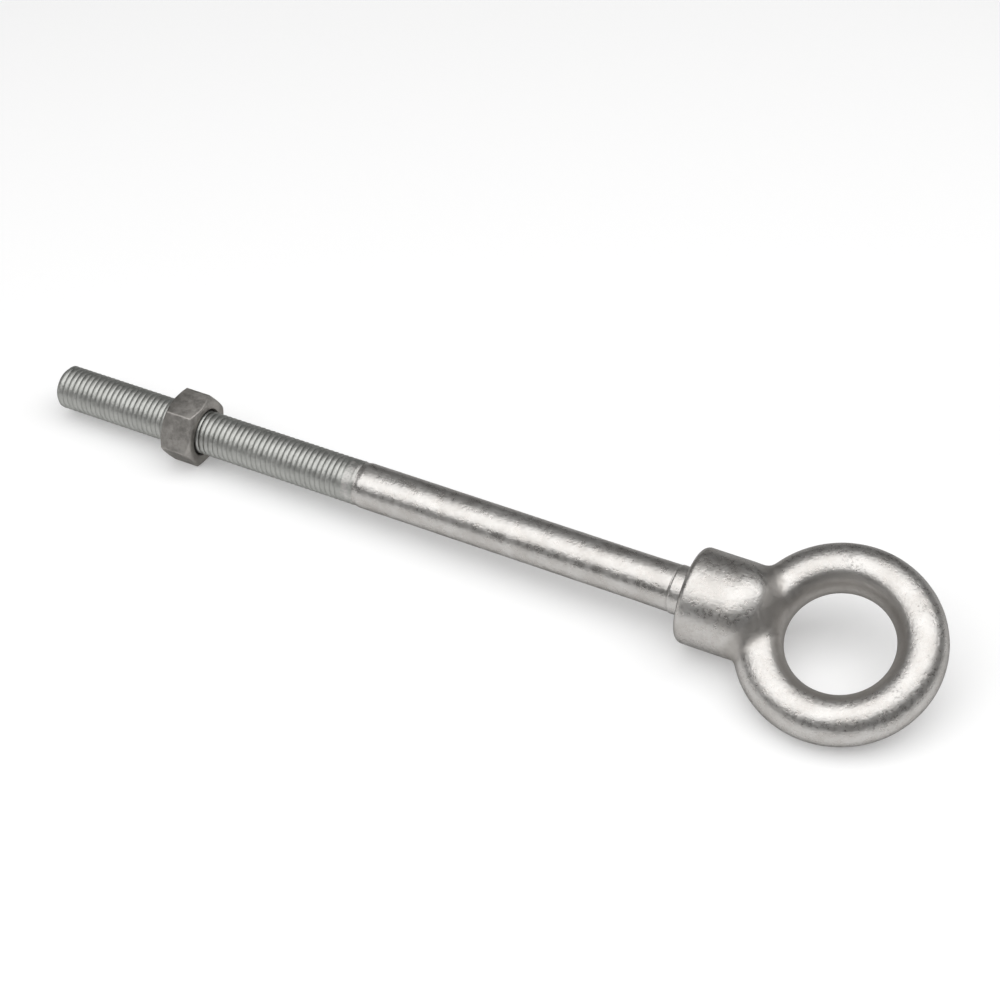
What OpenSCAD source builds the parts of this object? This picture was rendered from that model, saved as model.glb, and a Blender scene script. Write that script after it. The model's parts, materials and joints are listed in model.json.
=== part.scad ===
// Long-shank collar eye bolt with one hexagon nut on its thread, lying as it comes to rest.
// All sizes are in millimetres. Each module is drawn along X, tip towards -X and eye towards +X,
// with the collar's seat at x = 0, and is then laid on the floor at z = 0.

/* [Shank] */
// Length under the collar, from its seat to the tip
shank_length = 250; // [180:5:400]
// Outer diameter of the thread
thread_diameter = 16; // [12:0.5:20]
// Length of the thread, from the tip to the end of its run-out
thread_length = 125; // [90:5:170]
// Length of the run-out cone where the thread dies into the plain shank
runout_length = 2; // [1:0.5:4]
// How far the plain shank stands above the thread's crests, on the radius
shank_step = 0.25; // [0.1:0.05:0.6]
// Chamfer at the tip
tip_chamfer = 1.5; // [0.5:0.25:3]
// Length of the thicker neck under the collar
neck_length = 5.5; // [3:0.5:10]
// How far the neck stands above the plain shank, on the radius
neck_step = 0.35; // [0.2:0.05:0.8]

/* [Collar] */
// Diameter of the collar
collar_diameter = 34; // [30:1:42]
// Distance from the collar's seat to the centre line of the eye's round bar
collar_to_eye = 26.3; // [22:0.1:34]
// Rounding of the collar's edge at the seat
seat_round = 2.5; // [1:0.25:4]
// Radius of the hollow where the collar runs into the eye
valley_round = 5; // [3:0.5:8]

/* [Eye] */
// Inner diameter of the eye
eye_hole = 37; // [30:1:50]
// Diameter of the eye's round bar
eye_bar = 17; // [14:0.5:20]

/* [Nut] */
// Width across the nut's flats
nut_flats = 24; // [22:0.5:28]
// Height of the nut
nut_height = 12.5; // [10:0.5:16]
// Distance from the tip to the nut's outer face
nut_set_back = 48; // [10:2:60]
// Radial clearance between the thread and the nut's bore
thread_clearance = 0.05; // [0.02:0.01:0.1]
// How far the countersinks at the nut's bore stand above the bore, on the radius
countersink = 0.9; // [0.5:0.1:1.5]

/* [Hidden] */
$fn = 64;
thread_r = thread_diameter / 2;
shank_r = thread_r + shank_step;
neck_r = shank_r + neck_step;
collar_r = collar_diameter / 2;
bar_r = eye_bar / 2;
ring_r = eye_hole / 2 + bar_r;
ring_outer = ring_r + bar_r;
eye_x = collar_to_eye + ring_r;

// The collar's end towards the eye is a dome that sinks into the eye's bar
dome_end = collar_to_eye + 0.2 * bar_r;
dome_foot = 0.8 * bar_r;
dome_r = collar_r - dome_foot;
dome_x = dome_end - dome_r;

// The saddle above and below: a straight slope that leaves the dome as its tangent,
// runs down over the eye's bar and cuts slightly into the bar's side towards the hole
saddle_bite = 0.3;
saddle_foot = bar_r - saddle_bite;
saddle_reach = norm([collar_to_eye - dome_x, dome_foot]);
saddle_fall = atan2(dome_foot, collar_to_eye - dome_x);
saddle_lean = acos((dome_r - saddle_foot) / saddle_reach) - saddle_fall;

// The valley between collar and eye: an arc that cuts slightly into both
valley_bite = 0.3;
valley_r_centre = collar_r + valley_round - valley_bite;
valley_reach = ring_outer + valley_round - valley_bite;
valley_x = eye_x - sqrt(pow(valley_reach, 2) - pow(valley_r_centre, 2));
valley_spread = 2 * asin(0.5 * bar_r / collar_r);

// The nut's corners are turned down to a cone of 30 degrees at both faces
nut_corner_r = nut_flats / sqrt(3);
nut_face_r = 0.475 * nut_flats;
nut_bevel = (nut_corner_r - nut_face_r) * tan(30);
nut_flat_end = (nut_flats / 2 - nut_face_r) * tan(30);
nut_bore_r = thread_r + thread_clearance;
nut_x = nut_height / 2 + nut_set_back - shank_length;

// At rest the bolt touches the floor with the collar's edge, the eye and a flat of the nut.
// The pitch lowers the tip until the nut's flat meets the floor, the roll lowers the eye's side.
flat_reach = nut_height / 2 - nut_flat_end - nut_x;
lean_x = flat_reach + seat_round;
lean_z = collar_r - seat_round - nut_flats / 2;
rest_pitch = atan2(lean_z, lean_x) + asin(seat_round / norm([lean_x, lean_z]));
seat_height = (collar_r - seat_round) * cos(rest_pitch) + seat_round * (1 - sin(rest_pitch));
eye_dip = (seat_height - bar_r + eye_x * sin(rest_pitch)) / ring_r;
rest_roll = asin(sqrt(pow(eye_dip, 2) - pow(sin(rest_pitch), 2)) / cos(rest_pitch));

// The frame's origin lies on the floor under the middle of the part's length
tip_reach = shank_length * cos(rest_pitch) + (thread_r - tip_chamfer) * sin(rest_pitch);
eye_swing = norm([cos(rest_pitch), sin(rest_pitch) * sin(rest_roll)]);
eye_end = eye_x * cos(rest_pitch) + ring_r * eye_swing + bar_r;
seat_place = (tip_reach - eye_end) / 2;

// Lays a piece drawn along X on the floor, turned about its axis by the roll
module at_rest(roll) {
    translate([seat_place, 0, seat_height])
        rotate([roll, -rest_pitch, 0])
            children();
}

// Turns a half section, drawn as radius and place along the axis, about X
module turned_about_x() {
    rotate([0, 90, 0])
        rotate_extrude()
            children();
}

module shank_section() {
    tip_x = -shank_length;
    thread_end = tip_x + thread_length;
    polygon([
        [0, tip_x],
        [thread_r - tip_chamfer, tip_x],
        [thread_r, tip_x + tip_chamfer],
        [thread_r, thread_end - runout_length],
        [shank_r, thread_end],
        [shank_r, -neck_length],
        [neck_r, neck_step - neck_length],
        [neck_r, seat_round],
        [0, seat_round]
    ]);
}

module collar_section() {
    square([collar_r - seat_round, dome_x]);
    translate([0, seat_round])
        square([collar_r, dome_x - seat_round]);
    translate([collar_r - seat_round, seat_round])
        circle(r = seat_round, $fn = 32);
    intersection() {
        translate([dome_foot, dome_x])
            circle(r = dome_r);
        translate([0, seat_round])
            square([collar_r, dome_end]);
    }
    translate([0, dome_x])
        square([dome_foot, dome_r]);
    saddle_section();
}

module saddle_section() {
    slope_end = collar_to_eye + saddle_foot * cos(saddle_lean);
    polygon([
        [0, dome_x],
        [dome_foot + dome_r * sin(saddle_lean), dome_x + dome_r * cos(saddle_lean)],
        [saddle_foot * sin(saddle_lean), slope_end],
        [0, slope_end]
    ]);
}

module valley_section() {
    bar_point = ring_r / valley_reach;
    difference() {
        polygon([
            [collar_r - seat_round, valley_x],
            [valley_r_centre, valley_x],
            [valley_r_centre * bar_point, eye_x + (valley_x - eye_x) * bar_point]
        ]);
        translate([valley_r_centre, valley_x])
            circle(r = valley_round);
    }
}

module eye_ring() {
    translate([eye_x, 0, 0])
        rotate_extrude()
            translate([ring_r, 0])
                circle(r = bar_r, $fn = 48);
}

// Fills the corner between collar and eye, once on each side of the axis
module valleys() {
    for (side = [90, 270])
        rotate([0, 90, 0])
            rotate([0, 0, side - valley_spread / 2])
                rotate_extrude(angle = valley_spread)
                    valley_section();
}

module eye_bolt() {
    color([0.66, 0.66, 0.64])
        at_rest(rest_roll)
            union() {
                turned_about_x() {
                    shank_section();
                    collar_section();
                }
                eye_ring();
                valleys();
            }
}

module nut_envelope_section() {
    half = nut_height / 2;
    polygon([
        [0, -half],
        [nut_face_r, -half],
        [nut_corner_r, nut_bevel - half],
        [nut_corner_r, half - nut_bevel],
        [nut_face_r, half],
        [0, half]
    ]);
}

module nut_bore_section() {
    half = nut_height / 2;
    over = 1;
    mouth_r = nut_bore_r + countersink;
    polygon([
        [0, -half - over],
        [mouth_r + over, -half - over],
        [nut_bore_r, countersink - half],
        [nut_bore_r, half - countersink],
        [mouth_r + over, half + over],
        [0, half + over]
    ]);
}

module hex_nut() {
    color([0.52, 0.52, 0.50])
        at_rest(0)
            translate([nut_x, 0, 0])
                difference() {
                    intersection() {
                        rotate([0, 90, 0])
                            rotate([0, 0, 30])
                                cylinder(r = nut_corner_r, h = nut_height, center = true, $fn = 6);
                        turned_about_x()
                            nut_envelope_section();
                    }
                    turned_about_x()
                        nut_bore_section();
                }
}

eye_bolt();
hex_nut();
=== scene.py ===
"""Models and finishes a galvanised collar eye bolt and its hexagon nut; an add-on, run as a script."""

import json
import math

import bmesh
import bpy
import numpy as np
from bpy.props import FloatProperty, FloatVectorProperty, IntProperty, PointerProperty
from mathutils import Matrix, Vector, noise


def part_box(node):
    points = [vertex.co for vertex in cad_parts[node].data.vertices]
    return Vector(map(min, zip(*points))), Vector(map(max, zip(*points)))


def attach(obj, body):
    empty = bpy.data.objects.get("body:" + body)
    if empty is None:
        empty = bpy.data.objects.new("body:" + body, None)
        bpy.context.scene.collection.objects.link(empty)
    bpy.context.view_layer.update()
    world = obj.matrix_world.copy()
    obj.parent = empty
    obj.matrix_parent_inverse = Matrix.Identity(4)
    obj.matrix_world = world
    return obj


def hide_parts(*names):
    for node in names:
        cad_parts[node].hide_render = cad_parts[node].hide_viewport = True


bl_info = {
    "name": "Collar eye bolt",
    "version": (1, 0, 0),
    "blender": (4, 5, 0),
    "location": "View3D > Sidebar > Eye bolt",
    "description": "Models and finishes a galvanised collar eye bolt with a hexagon nut on its thread",
    "category": "Object",
}

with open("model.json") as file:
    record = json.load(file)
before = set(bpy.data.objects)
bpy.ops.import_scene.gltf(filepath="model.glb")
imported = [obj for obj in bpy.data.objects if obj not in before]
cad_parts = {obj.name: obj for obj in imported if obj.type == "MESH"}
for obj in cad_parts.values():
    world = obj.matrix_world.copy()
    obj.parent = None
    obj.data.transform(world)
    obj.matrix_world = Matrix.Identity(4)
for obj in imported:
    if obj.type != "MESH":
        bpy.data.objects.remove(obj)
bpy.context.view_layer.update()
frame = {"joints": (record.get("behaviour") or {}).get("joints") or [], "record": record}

FULL_TURN = 2 * math.pi
ORIGIN = (0.0, 0.0, 0.0)
ALONG = (1.0, 0.0, 0.0)
WELD = 2e-5
SHARP_EDGE = math.radians(42)
HEXAGON_SIDE = math.radians(60)
NUT_CHAMFER = math.radians(30)


def mount(name):
    """The record's mount of that name."""
    return next(m for m in frame["record"]["mounts"] if m["name"] == name)


def bolt_axis():
    """Direction from the tip to the eye, the way that the nut travels."""
    return Vector(frame["joints"][0]["axis"]).normalized()


def eye_to_seat():
    """Distance along the axis from the collar's seat to the eye's centre."""
    return bolt_axis().dot(Vector(mount("eye")["pos_m"]) - Vector(mount("collar_seat")["pos_m"]))


def bolt_place():
    """From the bolt's own frame, X along the shank and the seat at x = 0, to the frame it lies in."""
    along = bolt_axis()
    through_eye = Vector(mount("eye")["axis"])
    through_eye = (through_eye - along * along.dot(through_eye)).normalized()
    across = through_eye.cross(along)
    seat = Vector(mount("eye")["pos_m"]) - along * eye_to_seat()
    return Matrix.Translation(seat) @ Matrix((along, across, through_eye)).transposed().to_4x4()


def nut_place():
    """From the nut's own frame, X along its bore and a flat facing down, to its place on the thread."""
    low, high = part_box("hex_nut")
    along = bolt_axis()
    across = Vector((0.0, 1.0, 0.0))
    turn = Matrix((along, across, along.cross(across))).transposed().to_4x4()
    return Matrix.Translation((low + high) / 2) @ turn


def nut_flats():
    """Width across the nut's flats, from the width across its corners as it lies."""
    low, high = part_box("hex_nut")
    return (high.y - low.y) * math.cos(HEXAGON_SIDE / 2)


def length(name, description, default):
    return FloatProperty(name=name, description=description, default=default, min=0.0, precision=5,
                         subtype="DISTANCE", unit="LENGTH")


def share(name, description, default):
    return FloatProperty(name=name, description=description, default=default, min=0.0, max=1.0,
                         subtype="FACTOR")


def colour(name, description, default):
    return FloatVectorProperty(name=name, description=description, default=default, size=4,
                               min=0.0, max=1.0, subtype="COLOR")


def angle(name, description, degrees):
    return FloatProperty(name=name, description=description, default=math.radians(degrees),
                         subtype="ANGLE", unit="ROTATION")


class EyeBoltSizes(bpy.types.PropertyGroup):
    """Sizes of the forged eye bolt"""

    shank_length: length("Shank length", "From the collar's seat to the tip", 0.250)
    shank_radius: length("Shank radius", "Radius of the plain shank",
                         mount("shank")["dims"]["r_mm"] / 1000)
    shank_flare: length("Shank flare", "Growth of the shank's radius towards the neck", 0.00012)
    flare_length: length("Flare length", "Length over which the shank grows towards the neck", 0.014)
    thread_radius: length("Thread radius", "Radius over the thread's crests", 0.008)
    thread_length: length("Thread length", "From the tip to the end of the run-out", 0.125)
    thread_pitch: length("Thread pitch", "Advance of the thread in one turn", 0.002)
    thread_depth: length("Thread depth", "Crest to root, with the zinc that lies in the root", 0.00031)
    crest_breadth: FloatProperty(name="Crest breadth", default=2.5, min=1.0,
                                 description="Power of the tooth's curve; more gives a broader crest")
    tip_chamfer: length("Tip chamfer", "Chamfer at the tip", 0.0015)
    runout: length("Run-out", "Length over which the thread's roots rise to its crests", 0.0040)
    zinc_run: length("Zinc run", "Length of the smooth zinc from the last root to the shoulder", 0.0034)
    zinc_lip: length("Zinc lip", "Height of the thin lip at the end of the smooth zinc", 0.00008)
    lip_width: length("Lip width", "Width of the thin lip", 0.0010)
    shoulder_groove: length("Shoulder groove", "Depth of the groove at the shoulder's foot", 0.00014)
    shoulder: length("Shoulder", "Length of the slope from the groove up to the shank", 0.0024)
    neck_length: length("Neck length", "Length of the thicker neck under the collar", 0.0055)
    neck_radius: length("Neck radius", "Radius of the neck", 0.0086)
    neck_groove: length("Neck groove", "Depth of the fine groove where the neck starts", 0.00022)
    groove_to_shank: length("Groove to shank", "From the groove's middle to its edge on the shank", 0.0005)
    groove_to_neck: length("Groove to neck", "From the groove's middle to its edge on the neck", 0.0006)
    collar_radius: length("Collar radius", "Radius of the collar", 0.017)
    seat_round: length("Seat round", "Rounding of the collar's edge at the seat", 0.0025)
    dome_end: length("Dome end", "From the seat to the crown of the collar's dome", 0.028)
    dome_round: length("Dome round", "Radius of the dome's shoulder", 0.0102)
    ring_radius: length("Ring radius", "From the eye's centre to the middle of its bar", 0.027)
    bar_radius: length("Bar radius", "Radius of the eye's round bar", 0.0085)
    valley: length("Valley", "How far the collar and the eye run into each other at the sides", 0.0036)
    saddle: length("Saddle", "How far the collar runs over the eye's bar above and below", 0.0100)
    forging_wave: length("Forging wave", "Depth of the forging's unevenness", 0.00003)
    shank_wave_size: length("Shank wave size", "Extent of one unevenness on the shank", 0.004)
    eye_wave_size: length("Eye wave size", "Extent of one unevenness on the eye and collar", 0.006)
    mesh_step: length("Mesh step", "Size of the faces on the forged eye", 0.0006)


class HexNutSizes(bpy.types.PropertyGroup):
    """Sizes of the hexagon nut"""

    flats: length("Flats", "Width across the flats", nut_flats())
    height: length("Height", "Height of the nut", 0.0125)
    face_radius: length("Face radius", "Radius of the flat ring on each face", 0.0114)
    bore_radius: length("Bore radius", "Radius of the bore", 0.00805)
    countersink: length("Countersink", "Depth of the countersink at each face", 0.0009)
    edge_round: length("Edge round", "Rounding of the corners", 0.0004)
    side_columns: IntProperty(name="Side columns", description="Faces across one flat", default=14, min=4)


class ZincFinish(bpy.types.PropertyGroup):
    """Colours and roughness of the zinc and of the nut's bare bore"""

    pale: colour("Pale zinc", "Colour of the bright zinc", (0.535, 0.522, 0.505, 1.0))
    dull: colour("Dull zinc", "Colour of the clouded zinc", (0.435, 0.417, 0.397, 1.0))
    thread_pale: colour("Pale thread", "Colour of the thread's brighter zinc", (0.429, 0.433, 0.414, 1.0))
    thread_dull: colour("Dull thread", "Colour of the thread's greyer zinc", (0.365, 0.369, 0.351, 1.0))
    nut_pale: colour("Pale nut", "Colour of the nut's brighter zinc", (0.405, 0.387, 0.365, 1.0))
    nut_dull: colour("Dull nut", "Colour of the nut's greyer zinc", (0.257, 0.246, 0.230, 1.0))
    # Painted shade: a darker zinc colour inside the eye and where collar and eye run together, where the
    # zinc is also rougher
    dull_and_painted_shade: colour("Sheltered zinc", "Colour of the zinc inside the eye", (0.400, 0.382, 0.362, 1.0))
    # Painted shade in the pits: a dark colour where the pits sink the skin; in the bore it is the darker
    # tone of the oily steel with painted shade
    pit: colour("Pit", "Colour in the pits and of the oil in the bore", (0.176, 0.167, 0.158, 1.0))
    # Painted shade: a near-black colour on the bare steel of the bore and countersink, darker than the
    # steel itself
    bare_steel_and_painted_shade: colour("Bare steel and painted shade", "Colour of the nut's tapped bore", (0.081, 0.077, 0.072, 1.0))
    edge_tint: share("Edge tint", "Share of a metal's shine that the zinc keeps seen edge on", 0.36)
    forging_roughness: share("Forging roughness", "Roughness of the eye, the collar and the shank", 0.31)
    thread_roughness: share("Thread roughness", "Roughness of the thread", 0.42)
    nut_roughness: share("Nut roughness", "Roughness of the nut", 0.48)


class Studio(bpy.types.PropertyGroup):
    """Floor, light and camera"""

    aim: FloatVectorProperty(name="Aim", description="Point that the camera looks at", size=3,
                             default=(0.00382, 0.0114, 0.01693), subtype="TRANSLATION", unit="LENGTH")
    distance: length("Distance", "From the aim to the camera", 0.8185)
    azimuth: angle("Azimuth", "Camera's place round the part, from -Y towards +X", 26.169)
    elevation: angle("Elevation", "Camera's height above the horizon", 46.295)
    roll: angle("Roll", "Camera's turn about its own line of sight", -0.374)
    lens: FloatProperty(name="Lens", description="Focal length", default=84.254, subtype="DISTANCE_CAMERA")
    floor_size: length("Floor size", "Side of the floor", 60.0)
    floor_colour: colour("Floor colour", "Colour of the floor", (0.76, 0.76, 0.76, 1.0))
    floor_lift: share("Floor lift", "Light added to the floor round the part where it is looked at", 0.24)
    lift_near: length("Lift near", "Distance up to which the floor has its full lift", 0.35)
    lift_far: length("Lift far", "Distance at which the floor's lift has died away", 0.90)
    softbox_place: FloatVectorProperty(name="Softbox place", description="Centre of the softbox", size=3,
                                       default=(-0.07, -0.30, 0.90), subtype="TRANSLATION", unit="LENGTH")
    softbox_turn: angle("Softbox turn", "Turn of the softbox's length from the bolt's axis", 39.0)
    softbox_length: length("Softbox length", "Longer extent of the softbox", 3.4)
    softbox_width: length("Softbox width", "Shorter extent of the softbox", 1.12)
    softbox_power: FloatProperty(name="Softbox power", description="Light of the softbox", default=16.6,
                                 unit="POWER")
    room_low: share("Room low", "Brightness of the room near the floor", 0.133)
    room_high: share("Room high", "Brightness of the room overhead", 0.325)
    low_until: share("Low until", "Height in the room, 0 level to 1 overhead, where its low ends", 0.1)
    high_from: share("High from", "Height in the room, 0 level to 1 overhead, where its high starts", 0.75)


def new_piece(name, mesh, body, node):
    """Puts a finished mesh in the scene as a piece that rides on a body in place of a node."""
    piece = bpy.data.objects.new(name, mesh)
    bpy.context.scene.collection.objects.link(piece)
    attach(piece, body)
    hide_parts(node)
    return piece


def line_of(bm, points):
    """A run of edges through (place along the axis, radius) points."""
    verts = [bm.verts.new((x, 0.0, r)) for x, r in points]
    return verts + [bm.edges.new(pair) for pair in zip(verts, verts[1:])]


def turn_on_lathe(bm, points, steps):
    """Turns an outline that starts and ends on the axis into a closed solid."""
    bmesh.ops.spin(bm, geom=line_of(bm, points), cent=ORIGIN, axis=ALONG, angle=FULL_TURN,
                   steps=steps, use_merge=True)
    bmesh.ops.remove_doubles(bm, verts=bm.verts[:], dist=WELD)
    bmesh.ops.recalc_face_normals(bm, faces=bm.faces[:])


def mesh_from(bm, name):
    mesh = bpy.data.meshes.new(name)
    bm.to_mesh(mesh)
    bm.free()
    return mesh


def after_modifiers(mesh, others, set_modifiers):
    """The mesh as its modifiers leave it; others are the meshes that the modifiers work with."""
    made = [bpy.data.objects.new(m.name, m) for m in (mesh, *others)]
    for thing in made:
        bpy.context.scene.collection.objects.link(thing)
    set_modifiers(*made)
    result = bpy.data.meshes.new_from_object(made[0].evaluated_get(bpy.context.evaluated_depsgraph_get()))
    for thing in made:
        bpy.data.objects.remove(thing)
    return result


def fuse(*solids):
    """One closed mesh from solids that reach into each other."""

    def set_modifiers(first, *rest):
        for tool in rest:
            union = first.modifiers.new("fuse", "BOOLEAN")
            union.operation = "UNION"
            union.solver = "MANIFOLD"
            union.object = tool

    return after_modifiers(solids[0], solids[1:], set_modifiers)


def even_faces(mesh, step):
    """The outer skin of a mesh in even faces."""

    def set_modifiers(thing):
        skin = thing.modifiers.new("even faces", "REMESH")
        skin.mode = "VOXEL"
        skin.voxel_size = step

    return after_modifiers(mesh, (), set_modifiers)


def read_vertices(mesh, what):
    """Every vertex's place ("co") or direction ("normal"), one row each."""
    rows = np.empty(len(mesh.vertices) * 3, np.float32)
    mesh.vertices.foreach_get(what, rows)
    return rows.reshape(-1, 3).astype(float)


def move_vertices(mesh, places):
    mesh.vertices.foreach_set("co", places.astype(np.float32).ravel())
    mesh.update()


def shoulder_foot(sizes):
    """Place along the axis where the thread's zinc ends and the shoulder starts."""
    return sizes.thread_length - sizes.shank_length - sizes.shoulder / 3


def tooth(sizes, points=11):
    """One pitch of the thread, root to root: a crest rounded by the zinc, flanks steepest at the root."""
    outline = []
    for k in range(points):
        place = k / (points - 1) - 0.5
        below_crest = sizes.thread_depth * abs(2 * place)**sizes.crest_breadth
        outline.append((sizes.thread_pitch * place, sizes.thread_radius - below_crest))
    return outline


def threaded_rod(sizes, steps_per_turn=40):
    """The thread as a closed rod: a chamfered tip, and roots that rise to a smooth run with a thin lip."""
    tip = -sizes.shank_length
    end = shoulder_foot(sizes)
    # The first turn starts a little over one pitch before the tip, so that no point falls on a cut
    start = tip - 1.009 * sizes.thread_pitch
    first_tooth = [(start + x, r) for x, r in tooth(sizes)]
    bm = bmesh.new()
    bmesh.ops.spin(bm, geom=line_of(bm, first_tooth), cent=ORIGIN, axis=ALONG, angle=FULL_TURN,
                   steps=steps_per_turn, dvec=(sizes.thread_pitch / steps_per_turn, 0.0, 0.0))

    def set_modifiers(turn):
        row = turn.modifiers.new("turns", "ARRAY")
        row.count = math.ceil(sizes.thread_length / sizes.thread_pitch) + 2
        row.use_relative_offset = False
        row.use_constant_offset = True
        row.constant_offset_displace = (sizes.thread_pitch, 0.0, 0.0)

    turns = after_modifiers(mesh_from(bm, "thread_turn"), (), set_modifiers)
    bm = bmesh.new()
    bm.from_mesh(turns)
    bmesh.ops.remove_doubles(bm, verts=bm.verts[:], dist=WELD)
    for place, towards in ((tip, 1.0), (end, -1.0)):
        cut = bmesh.ops.bisect_plane(bm, geom=bm.verts[:] + bm.edges[:] + bm.faces[:], dist=1e-7,
                                     plane_co=(place, 0.0, 0.0), plane_no=(towards, 0.0, 0.0),
                                     clear_inner=True)
        rim = [e for e in cut["geom_cut"] if isinstance(e, bmesh.types.BMEdge)]
        bmesh.ops.contextual_create(bm, geom=rim)
    bmesh.ops.recalc_face_normals(bm, faces=bm.faces[:])
    for v in bm.verts:
        radius = math.hypot(v.co.y, v.co.z)
        highest = sizes.thread_radius - max(0.0, sizes.tip_chamfer - (v.co.x - tip))
        to_last_root = end - sizes.zinc_run - v.co.x
        depth_here = min(1.0, max(0.0, to_last_root / sizes.runout))
        filled = sizes.thread_radius - depth_here * (sizes.thread_radius - radius)
        lip = sizes.zinc_lip * dip(v.co.x, end - sizes.lip_width, sizes.lip_width / 2)
        groove = sizes.shoulder_groove * dip(v.co.x, end, sizes.lip_width / 2)
        eased = (min(filled, highest) + lip - groove) / radius
        v.co.y *= eased
        v.co.z *= eased
    return mesh_from(bm, "threaded_rod")


def dip(x, middle, half_width):
    """A smooth hollow: 1 in its middle, 0 at half_width from it and beyond."""
    away = min(1.0, abs(x - middle) / half_width)
    return 0.5 + 0.5 * math.cos(math.pi * away)


def shank_radius_at(x, sizes):
    """Radius of the plain shank, with the shoulder at the thread's end, the flare and the neck."""
    shoulder_top = shoulder_foot(sizes) + sizes.shoulder
    neck_start = -sizes.neck_length
    if x > neck_start:
        return sizes.neck_radius - sizes.neck_groove * dip(x, neck_start, sizes.groove_to_neck)
    groove = sizes.neck_groove * dip(x, neck_start, sizes.groove_to_shank)
    flare = sizes.shank_flare * dip(x, neck_start, sizes.flare_length)
    rise = sizes.shank_radius - sizes.thread_radius + sizes.shoulder_groove
    below_shoulder = rise * dip(x, shoulder_top - sizes.shoulder, sizes.shoulder)
    return sizes.shank_radius + flare - below_shoulder - groove


def shank_solid(sizes, steps=76):
    """The plain shank from its shoulder at the thread to its neck in the collar."""
    foot = shoulder_foot(sizes)
    shoulder_top = foot + sizes.shoulder
    groove_start = -sizes.neck_length - 2 * sizes.groove_to_shank
    groove_end = -sizes.neck_length + 2 * sizes.groove_to_shank
    # Each stretch: from, to, and the distance between two rings of points on it
    stretches = (
        (foot, shoulder_top, 0.0002),
        (shoulder_top, groove_start, 0.0008),
        (groove_start, groove_end, 0.0001),
        (groove_end, sizes.seat_round, 0.0005),
    )
    # Both ends reach into their neighbours, the threaded rod and the collar, so that all three fuse
    core = 0.8 * sizes.thread_radius
    outline = [(foot - sizes.shoulder, 0.0), (foot - sizes.shoulder, core)]
    for first, last, step in stretches:
        outline += [(float(x), shank_radius_at(float(x), sizes)) for x in np.arange(first, last, step)]
    outline += [(sizes.seat_round, sizes.neck_radius), (2 * sizes.seat_round, 0.9 * sizes.neck_radius),
                (2 * sizes.seat_round, 0.0)]
    bm = bmesh.new()
    turn_on_lathe(bm, outline, steps)
    return mesh_from(bm, "shank")


def collar_distance(points, sizes):
    """Signed distance to the collar: turned, with a round edge at the seat and a dome towards the eye."""
    middle = sizes.dome_end / 2
    corner = np.where(points[:, 0] < middle, sizes.seat_round, sizes.dome_round)
    along = np.abs(points[:, 0] - middle) - middle + corner
    out = np.hypot(points[:, 1], points[:, 2]) - sizes.collar_radius + corner
    outside = np.hypot(np.maximum(along, 0.0), np.maximum(out, 0.0))
    return outside + np.minimum(np.maximum(along, out), 0.0) - corner


def ring_distance(points, sizes):
    """Signed distance to the eye's round bar."""
    out = np.hypot(points[:, 0] - eye_to_seat(), points[:, 1]) - sizes.ring_radius
    return np.hypot(out, points[:, 2]) - sizes.bar_radius


def forged_distance(points, sizes):
    """Distance to collar and eye run together: narrow valleys beside, broad saddles above and below."""
    collar, ring = collar_distance(points, sizes), ring_distance(points, sizes)
    # 0 on the axis and at the sides, nearly 1 above and below
    above = points[:, 2]**2 / ((points[:, 1:]**2).sum(axis=1) + (sizes.bar_radius / 3)**2)
    run_over = sizes.valley + (sizes.saddle - sizes.valley) * above
    nearness = np.clip(1 - np.abs(collar - ring) / run_over, 0.0, None)
    return np.minimum(collar, ring) - nearness**2 * run_over / 4


def ramp(values, low, high):
    """0 up to low, 1 from high on, and straight between them."""
    return np.clip((values - low) / (high - low), 0.0, 1.0)


def mark_dull_and_painted_shade(mesh, sizes):
    """Stores where each vertex takes duller zinc with painted shade: 1 inside the eye and in the run
    between collar and eye.
    """
    points = read_vertices(mesh, "co")
    collar, ring = collar_distance(points, sizes), ring_distance(points, sizes)
    inwards = sizes.ring_radius - np.hypot(points[:, 0] - eye_to_seat(), points[:, 1])
    inside_eye = np.where(ring < sizes.bar_radius / 2, inwards / sizes.bar_radius, 0.0)
    in_the_run = 1 - np.abs(collar - ring) / sizes.saddle
    # The duller zinc and its painted shade set in between these shares of the bar's radius and of the run
    dull_and_painted_shade = np.maximum(ramp(inside_eye, 0.36, 0.76), ramp(in_the_run, 0.42, 0.82))
    layer = mesh.attributes.new("dull_and_painted_shade", "FLOAT", "POINT")
    layer.data.foreach_set("value", dull_and_painted_shade.astype(np.float32))


def settle(points, sizes, passes=6, probe=1e-5):
    """Moves points along the slope of the distance until they lie on the forged surface."""
    for _ in range(passes):
        value = forged_distance(points, sizes)
        slope = np.stack([
            (forged_distance(points + step, sizes) - forged_distance(points - step, sizes)) / (2 * probe)
            for step in probe * np.eye(3)
        ], axis=1)
        points = points - value[:, None] * slope / np.maximum((slope**2).sum(axis=1), 0.1)[:, None]
    return points


def wave(mesh, depth, size):
    """Sinks the skin here and there by the forging's slow unevenness."""
    places, outwards = read_vertices(mesh, "co"), read_vertices(mesh, "normal")
    sink = np.array([0.5 - 0.5 * noise.noise(place) for place in places / size])
    move_vertices(mesh, places - outwards * (2 * depth * sink)[:, None])


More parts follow.
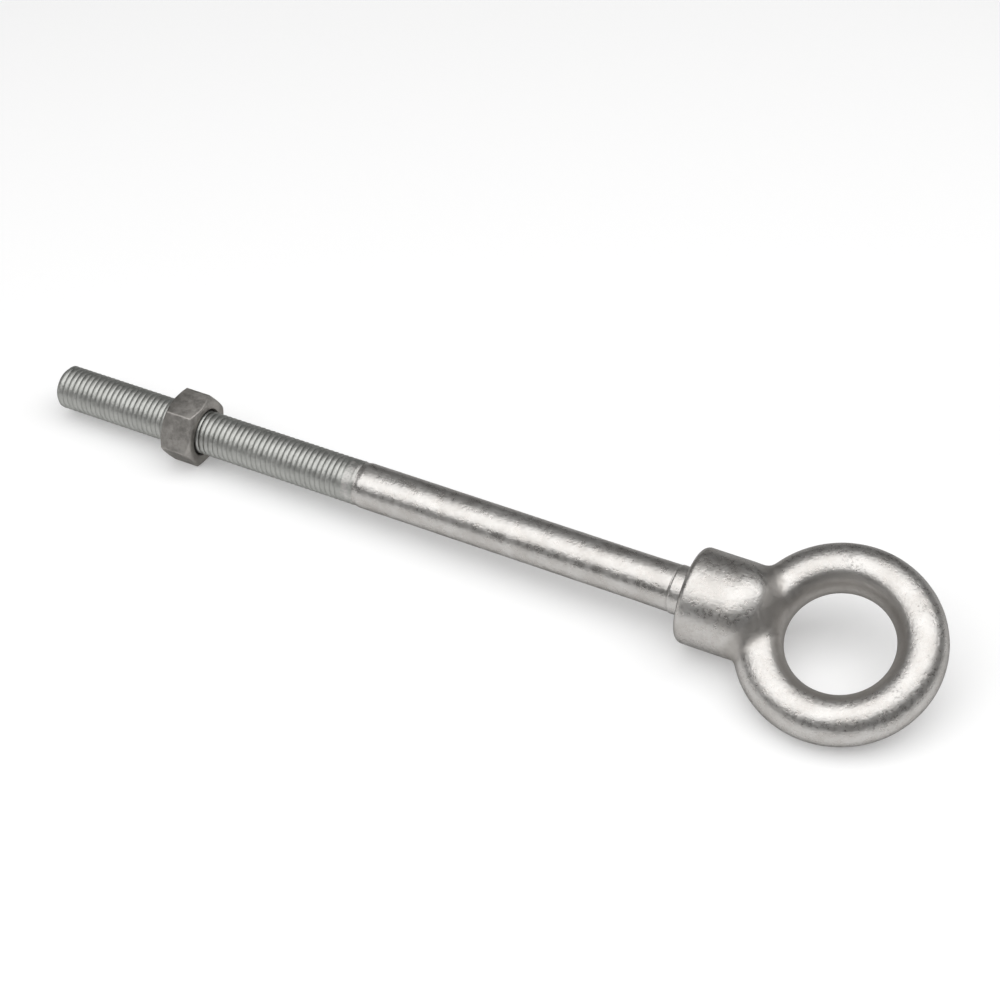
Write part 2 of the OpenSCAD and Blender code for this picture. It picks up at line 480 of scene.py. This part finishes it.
def eye_and_collar(sizes):
    """The eye's bent bar and the collar, forged into one."""
    centre = Vector((eye_to_seat(), 0.0, 0.0))
    bm = bmesh.new()
    section = Matrix.Translation(centre + Vector((sizes.ring_radius, 0.0, 0.0))) @ Matrix.Rotation(
        math.pi / 2, 4, "X")
    bar = bmesh.ops.create_circle(bm, segments=64, radius=sizes.bar_radius, matrix=section)["verts"]
    rim = list({e for v in bar for e in v.link_edges})
    bmesh.ops.spin(bm, geom=bar + rim, cent=centre, axis=(0.0, 0.0, 1.0), angle=FULL_TURN, steps=128,
                   use_merge=True)
    turn_on_lathe(bm, [
        (0.0, 0.0),
        (0.0, sizes.collar_radius - sizes.seat_round),
        (sizes.seat_round, sizes.collar_radius),
        (sizes.dome_end - sizes.dome_round, sizes.collar_radius),
        (sizes.dome_end, sizes.collar_radius - sizes.dome_round),
        (sizes.dome_end, 0.0),
    ], steps=96)
    mesh = even_faces(mesh_from(bm, "eye_and_collar"), sizes.mesh_step)
    move_vertices(mesh, settle(read_vertices(mesh, "co"), sizes))
    return mesh


def hexagon_reach(turn, flats):
    """Distance from the axis to the hexagon's side in that direction; a flat faces down."""
    from_flat = (turn + HEXAGON_SIDE / 2) % HEXAGON_SIDE - HEXAGON_SIDE / 2
    return flats / 2 / math.cos(from_flat)


def nut_solid(sizes):
    """The nut: rings of points from the bore over one face, the flats and the other face, then a bridge."""
    columns = 6 * sizes.side_columns
    half = sizes.height / 2
    slope = math.tan(NUT_CHAMFER)
    mouth = sizes.bore_radius + sizes.countersink
    bm = bmesh.new()

    def chamfer_end(turn):
        reach = hexagon_reach(turn, sizes.flats)
        return half - (reach - sizes.face_radius) * slope, reach

    upper_half = [
        lambda turn: (half - sizes.countersink, sizes.bore_radius),
        lambda turn: (half, mouth),
        lambda turn: (half, sizes.face_radius),
        chamfer_end,
    ]
    lower_half = [lambda turn, at=at: (-at(turn)[0], at(turn)[1]) for at in reversed(upper_half)]
    ring = bmesh.ops.create_circle(bm, segments=columns, radius=mouth)["verts"]
    turns = [FULL_TURN * k / columns for k in range(columns)]
    rings, edges = [], []
    for at in upper_half + lower_half:
        if rings:
            made = bmesh.ops.extrude_edge_only(bm, edges=edges[-1])["geom"]
            ring = [next(v for v in made if isinstance(v, bmesh.types.BMVert)
                         and any(e.other_vert(v) is old for e in v.link_edges)) for old in rings[-1]]
        for v, turn in zip(ring, turns):
            x, r = at(turn)
            v.co = (x, r * math.sin(turn), -r * math.cos(turn))
        rings.append(ring)
        edges.append([bm.edges.get((a, b)) for a, b in zip(ring, ring[1:] + ring[:1])])
    bmesh.ops.bridge_loops(bm, edges=edges[-1] + edges[0])
    corners = [bm.edges.get((a, b)) for k, (a, b) in enumerate(zip(rings[3], rings[4]))
               if k % sizes.side_columns == sizes.side_columns // 2]
    rims = [e for ring_edges in edges[1:-1] for e in ring_edges]
    bmesh.ops.bevel(bm, geom=rims + corners, offset=sizes.edge_round, affect="EDGES", segments=3,
                    profile=0.5, material=-1, clamp_overlap=True)
    bmesh.ops.recalc_face_normals(bm, faces=bm.faces[:])
    return mesh_from(bm, "hexagon_nut")


def add_node(tree, kind, inputs=None, **settings):
    """A node with its settings and its inputs, each a value or another node's output."""
    node = tree.nodes.new(kind)
    for name, value in settings.items():
        setattr(node, name, value)
    for name, value in (inputs or {}).items():
        if isinstance(value, bpy.types.NodeSocket):
            tree.links.new(value, node.inputs[name])
        else:
            node.inputs[name].default_value = value
    return node


def math_node(tree, operation, first, second):
    return add_node(tree, "ShaderNodeMath", {0: first, 1: second}, operation=operation).outputs[0]


def remap(tree, value, low, high, to_low=0.0, to_high=1.0):
    return add_node(tree, "ShaderNodeMapRange", {
        "Value": value, "From Min": low, "From Max": high, "To Min": to_low, "To Max": to_high,
    }, interpolation_type="SMOOTHSTEP").outputs["Result"]


def mix_colours(tree, factor, first, second):
    mixed = add_node(tree, "ShaderNodeMix", {0: factor, 6: first, 7: second}, data_type="RGBA")
    return mixed.outputs[2]


def zinc_skin():
    """Node group: tone, roughness and height of a clouded, dented and pitted zinc coat."""
    group = bpy.data.node_groups.new("zinc_skin", "ShaderNodeTree")
    sockets = (
        ("Pale", "INPUT", "NodeSocketColor"),
        ("Dull", "INPUT", "NodeSocketColor"),
        ("Pit", "INPUT", "NodeSocketColor"),
        ("Painted Shade", "INPUT", "NodeSocketColor"),
        ("Cloud Scale", "INPUT", "NodeSocketFloat"),
        ("Dent Scale", "INPUT", "NodeSocketFloat"),
        ("Pit Share", "INPUT", "NodeSocketFloat"),
        ("Roughness", "INPUT", "NodeSocketFloat"),
        ("Color", "OUTPUT", "NodeSocketColor"),
        ("Roughness", "OUTPUT", "NodeSocketFloat"),
        ("Height", "OUTPUT", "NodeSocketFloat"),
    )
    for name, way, kind in sockets:
        group.interface.new_socket(name, in_out=way, socket_type=kind)
    given = add_node(group, "NodeGroupInput").outputs
    place = add_node(group, "ShaderNodeTexCoord").outputs["Object"]

    def cloud(scale, times, detail, raggedness=0.55):
        size = math_node(group, "MULTIPLY", scale, times)
        return add_node(group, "ShaderNodeTexNoise", {
            "Vector": place, "Scale": size, "Detail": detail, "Roughness": raggedness}).outputs["Fac"]

    def blend(*parts):
        total = 0.0
        for value, weight in parts:
            total = math_node(group, "ADD", total, math_node(group, "MULTIPLY", value, weight))
        return total

    # Slow clouds, patches where pits gather, dents, and the ragged grain on the dents
    slow = cloud(given["Cloud Scale"], 1.0, 2.0)
    patches = remap(group, cloud(given["Cloud Scale"], 0.77, 2.0), 0.56, 0.65)
    dents = cloud(given["Dent Scale"], 1.0, 3.0)
    grain = cloud(given["Dent Scale"], 1.7, 5.0, 0.7)
    # The mesh marks where the zinc is duller and painted with shade, inside the eye and between collar and
    # eye; clouds and dents make the edge of that mark ragged
    marked = add_node(group, "ShaderNodeAttribute", attribute_name="dull_and_painted_shade").outputs["Fac"]
    dull_and_painted_shade = remap(group, blend((marked, 1.0), (slow, 0.5), (dents, 0.5)), 0.62, 1.38)
    open_skin = math_node(group, "SUBTRACT", 1.0, dull_and_painted_shade)
    specks = math_node(group, "MULTIPLY", remap(group, grain, 0.48, 0.66), patches)
    pitted = math_node(group, "MULTIPLY", given["Pit Share"], open_skin)
    pits = math_node(group, "MULTIPLY", specks, pitted)
    clouded = remap(group, blend((slow, 0.45), (dents, 0.3), (grain, 0.25)), 0.38, 0.62)
    tone = mix_colours(group, clouded, given["Dull"], given["Pale"])
    # Painted shade: the tone darkens towards the shade colour where the mesh marks it
    tone_with_painted_shade = mix_colours(group, dull_and_painted_shade, tone, given["Painted Shade"])
    # Painted shade in the pits: the skin darkens to the pit colour where the pits sink it, besides the pits
    # in the bump
    skin = mix_colours(group, pits, tone_with_painted_shade, given["Pit"])
    spread = remap(group, dents, 0.3, 0.7, -0.06, 0.06)
    rough = blend((given["Roughness"], 1.0), (spread, 1.0), (dull_and_painted_shade, 0.12))
    lumps = blend((dents, 1.0), (grain, 0.8), (pits, -0.5))
    height = math_node(group, "MULTIPLY", lumps, remap(group, dull_and_painted_shade, 0.0, 1.0, 1.0, 0.4))
    add_node(group, "NodeGroupOutput", {"Color": skin, "Roughness": rough, "Height": height})
    return group


def zinc(name, finish, roughness, bump, looks):
    """A metal that takes its tone, roughness and bumps from the zinc skin; bump is the dents' depth."""
    material = bpy.data.materials.new(name)
    material.use_nodes = True
    tree = material.node_tree
    tree.nodes.clear()
    coat = bpy.data.node_groups.get("zinc_skin") or zinc_skin()
    skin = add_node(tree, "ShaderNodeGroup", node_tree=coat)
    # Every zinc gets the colour painted as shade in the pits and the colour painted as shade inside the eye
    # and between collar and eye
    everywhere = {"Pit": finish.pit, "Painted Shade": finish.dull_and_painted_shade, "Roughness": roughness}
    for socket, value in {**everywhere, **looks}.items():
        skin.inputs[socket].default_value = value
    lumps = add_node(tree, "ShaderNodeBump", {
        "Height": skin.outputs["Height"], "Strength": 1.0, "Distance": bump})
    shader = add_node(tree, "ShaderNodeBsdfPrincipled", {
        "Base Color": skin.outputs["Color"],
        "Roughness": skin.outputs["Roughness"],
        "Normal": lumps.outputs["Normal"],
        "Metallic": 1.0,
        "Specular Tint": (finish.edge_tint, finish.edge_tint, finish.edge_tint, 1.0),
    })
    add_node(tree, "ShaderNodeOutputMaterial", {"Surface": shader.outputs[0]})
    return material


def forging_zinc(finish):
    """Bright, pitted zinc on the eye and the collar."""
    return zinc("zinc_on_forging", finish, finish.forging_roughness, bump=0.00014, looks={
        "Pale": finish.pale, "Dull": finish.dull,
        "Cloud Scale": 110.0, "Dent Scale": 600.0, "Pit Share": 0.6})


def shank_zinc(finish):
    """Bright zinc on the plain shank, with longer dents and fewer pits than on the forging."""
    return zinc("zinc_on_shank", finish, finish.forging_roughness, bump=0.00016, looks={
        "Pale": finish.pale, "Dull": finish.dull,
        "Cloud Scale": 110.0, "Dent Scale": 380.0, "Pit Share": 0.3})


def runout_zinc(finish):
    """Mottled zinc on the smooth run between the last ridge and the shoulder."""
    return zinc("zinc_on_runout", finish, finish.thread_roughness, bump=0.00016, looks={
        "Pale": finish.pale, "Dull": finish.thread_dull,
        "Cloud Scale": 300.0, "Dent Scale": 900.0, "Pit Share": 0.3})


def thread_zinc(finish):
    """Greyer zinc on the thread, without pits."""
    return zinc("zinc_on_thread", finish, finish.thread_roughness, bump=0.00009, looks={
        "Pale": finish.thread_pale, "Dull": finish.thread_dull,
        "Cloud Scale": 260.0, "Dent Scale": 900.0, "Pit Share": 0.0})


def nut_zinc(finish):
    """Dull, clouded zinc on the nut."""
    return zinc("zinc_on_nut", finish, finish.nut_roughness, bump=0.00010, looks={
        "Pale": finish.nut_pale, "Dull": finish.nut_dull,
        "Cloud Scale": 160.0, "Dent Scale": 600.0, "Pit Share": 0.2})


def bore_steel_and_painted_shade(finish):
    """Dark, oily steel with painted shade: nuts are tapped after they are coated, so the bore has no zinc;
    its near-black colour is painted shade.
    """
    return zinc("painted_shade_on_bare_bore", finish, finish.nut_roughness, bump=0.00002, looks={
        "Pale": finish.bare_steel_and_painted_shade, "Dull": finish.pit,
        "Cloud Scale": 300.0, "Dent Scale": 900.0, "Pit Share": 0.0})


class EYEBOLT_OT_forge_eye_bolt(bpy.types.Operator):
    """Models the eye bolt in one piece, from its threaded tip to its eye, and coats it with zinc"""

    bl_idname = "eyebolt.forge_eye_bolt"
    bl_label = "Forge eye bolt"

    def execute(self, context):
        sizes, finish = context.scene.eye_bolt_sizes, context.scene.zinc_finish
        shank, eye = shank_solid(sizes), eye_and_collar(sizes)
        wave(shank, sizes.forging_wave, sizes.shank_wave_size)
        wave(eye, sizes.forging_wave, sizes.eye_wave_size)
        mesh = fuse(shank, threaded_rod(sizes), eye)
        mesh.name = "forged_eye_bolt"
        mesh.materials.clear()
        for coat in (forging_zinc, shank_zinc, runout_zinc, thread_zinc):
            mesh.materials.append(coat(finish))
        foot = shoulder_foot(sizes)
        last_ridge = foot - sizes.zinc_run - sizes.runout / 4
        # From the eye to the tip, each of these places hands over to the next coat
        handovers = (-sizes.neck_length, foot, last_ridge)
        for face in mesh.polygons:
            face.material_index = sum(face.center.x < place for place in handovers)
        # Marks the duller zinc with painted shade inside the eye and between collar and eye
        mark_dull_and_painted_shade(mesh, sizes)
        mesh.shade_smooth()
        mesh.set_sharp_from_angle(angle=SHARP_EDGE)
        mesh.transform(bolt_place())
        new_piece("forged_eye_bolt", mesh, "bolt", "eye_bolt")
        return {"FINISHED"}


class EYEBOLT_OT_make_hexagon_nut(bpy.types.Operator):
    """Models the hexagon nut where it sits on the thread and coats it with dull zinc"""

    bl_idname = "eyebolt.make_hexagon_nut"
    bl_label = "Make hexagon nut"

    def execute(self, context):
        sizes, finish = context.scene.hex_nut_sizes, context.scene.zinc_finish
        mesh = nut_solid(sizes)
        mesh.materials.append(nut_zinc(finish))
        mesh.materials.append(bore_steel_and_painted_shade(finish))
        # The bore and countersink take the bare steel darkened with painted shade
        mouth = sizes.bore_radius + sizes.countersink
        for face in mesh.polygons:
            face.material_index = 1 if math.hypot(face.center.y, face.center.z) < mouth else 0
        mesh.shade_smooth()
        mesh.set_sharp_from_angle(angle=SHARP_EDGE)
        mesh.transform(nut_place())
        new_piece("hexagon_nut", mesh, "nut", "hex_nut")
        return {"FINISHED"}


def floor_material(studio):
    """White floor that keeps its shadow and is lifted towards white where it is looked at or mirrored."""
    material = bpy.data.materials.new("floor_paper")
    material.use_nodes = True
    tree = material.node_tree
    tree.nodes.clear()
    light = add_node(tree, "ShaderNodeLightPath").outputs
    looked_at = math_node(tree, "MAXIMUM", light["Is Camera Ray"], math_node(
        tree, "MAXIMUM", light["Is Glossy Ray"], light["Is Transmission Ray"]))
    place = add_node(tree, "ShaderNodeTexCoord").outputs["Object"]
    away = add_node(tree, "ShaderNodeVectorMath", {0: place}, operation="LENGTH").outputs["Value"]
    round_part = remap(tree, away, studio.lift_near, studio.lift_far, studio.floor_lift, 0.0)
    paper = add_node(tree, "ShaderNodeBsdfDiffuse", {"Color": studio.floor_colour})
    strength = math_node(tree, "MULTIPLY", looked_at, round_part)
    lift = add_node(tree, "ShaderNodeEmission", {"Strength": strength})
    both = add_node(tree, "ShaderNodeAddShader", {0: paper.outputs[0], 1: lift.outputs[0]})
    add_node(tree, "ShaderNodeOutputMaterial", {"Surface": both.outputs[0]})
    return material


def room_world(studio):
    """A dim room, darker towards the floor."""
    world = bpy.data.worlds.new("room")
    world.use_nodes = True
    tree = world.node_tree
    tree.nodes.clear()
    way = add_node(tree, "ShaderNodeTexCoord").outputs["Generated"]
    up = add_node(tree, "ShaderNodeSeparateXYZ", {0: way}).outputs["Z"]
    brightness = remap(tree, up, studio.low_until, studio.high_from, studio.room_low, studio.room_high)
    walls = add_node(tree, "ShaderNodeBackground", {
        "Color": (1.0, 1.0, 1.0, 1.0), "Strength": brightness})
    add_node(tree, "ShaderNodeOutputWorld", {"Surface": walls.outputs[0]})
    return world


class EYEBOLT_OT_set_stage(bpy.types.Operator):
    """Lays the floor, hangs the softbox and sets the camera"""

    bl_idname = "eyebolt.set_stage"
    bl_label = "Set stage"

    def execute(self, context):
        scene, studio = context.scene, context.scene.studio
        bm = bmesh.new()
        bmesh.ops.create_grid(bm, x_segments=1, y_segments=1, size=studio.floor_size / 2)
        paper = mesh_from(bm, "floor")
        paper.materials.append(floor_material(studio))
        floor = bpy.data.objects.new("floor", paper)
        scene.collection.objects.link(floor)

        lamp = bpy.data.lights.new("softbox", "AREA")
        lamp.shape = "ELLIPSE"
        lamp.size, lamp.size_y = studio.softbox_length, studio.softbox_width
        lamp.energy = studio.softbox_power
        softbox = bpy.data.objects.new("softbox", lamp)
        softbox.location = studio.softbox_place
        softbox.rotation_euler.z = studio.softbox_turn
        softbox.visible_camera = False
        scene.collection.objects.link(softbox)

        scene.world = room_world(studio)
        scene.view_settings.view_transform = "Standard"

        lens = bpy.data.cameras.new("camera")
        lens.lens = studio.lens
        camera = bpy.data.objects.new("camera", lens)
        level = math.cos(studio.elevation)
        back = Vector((math.sin(studio.azimuth) * level, -math.cos(studio.azimuth) * level,
                       math.sin(studio.elevation)))
        turn = (-back).to_track_quat("-Z", "Y").to_matrix().to_4x4()
        camera.matrix_world = (Matrix.Translation(Vector(studio.aim) + back * studio.distance) @ turn
                               @ Matrix.Rotation(studio.roll, 4, "Z"))
        scene.collection.objects.link(camera)
        scene.camera = camera
        return {"FINISHED"}


class EYEBOLT_PT_sidebar(bpy.types.Panel):
    """Lists the steps that make the eye bolt, and its sizes"""

    bl_idname = "EYEBOLT_PT_sidebar"
    bl_label = "Eye bolt"
    bl_space_type = "VIEW_3D"
    bl_region_type = "UI"
    bl_category = "Eye bolt"

    def draw(self, context):
        for step in STEPS:
            self.layout.operator(step.bl_idname)
        for holder, _ in SETTINGS:
            box = self.layout.box()
            values = getattr(context.scene, holder)
            for name in values.__annotations__:
                box.prop(values, name)


STEPS = (EYEBOLT_OT_set_stage, EYEBOLT_OT_forge_eye_bolt, EYEBOLT_OT_make_hexagon_nut)
SETTINGS = (
    ("eye_bolt_sizes", EyeBoltSizes),
    ("hex_nut_sizes", HexNutSizes),
    ("zinc_finish", ZincFinish),
    ("studio", Studio),
)


def register():
    for holder, group in SETTINGS:
        bpy.utils.register_class(group)
        setattr(bpy.types.Scene, holder, PointerProperty(type=group))
    for made in (*STEPS, EYEBOLT_PT_sidebar):
        bpy.utils.register_class(made)


def unregister():
    for made in reversed((*STEPS, EYEBOLT_PT_sidebar)):
        bpy.utils.unregister_class(made)
    for holder, group in reversed(SETTINGS):
        delattr(bpy.types.Scene, holder)
        bpy.utils.unregister_class(group)


def main():
    register()
    bpy.ops.eyebolt.set_stage()
    bpy.ops.eyebolt.forge_eye_bolt()
    bpy.ops.eyebolt.make_hexagon_nut()


if __name__ == "__main__":
    main()
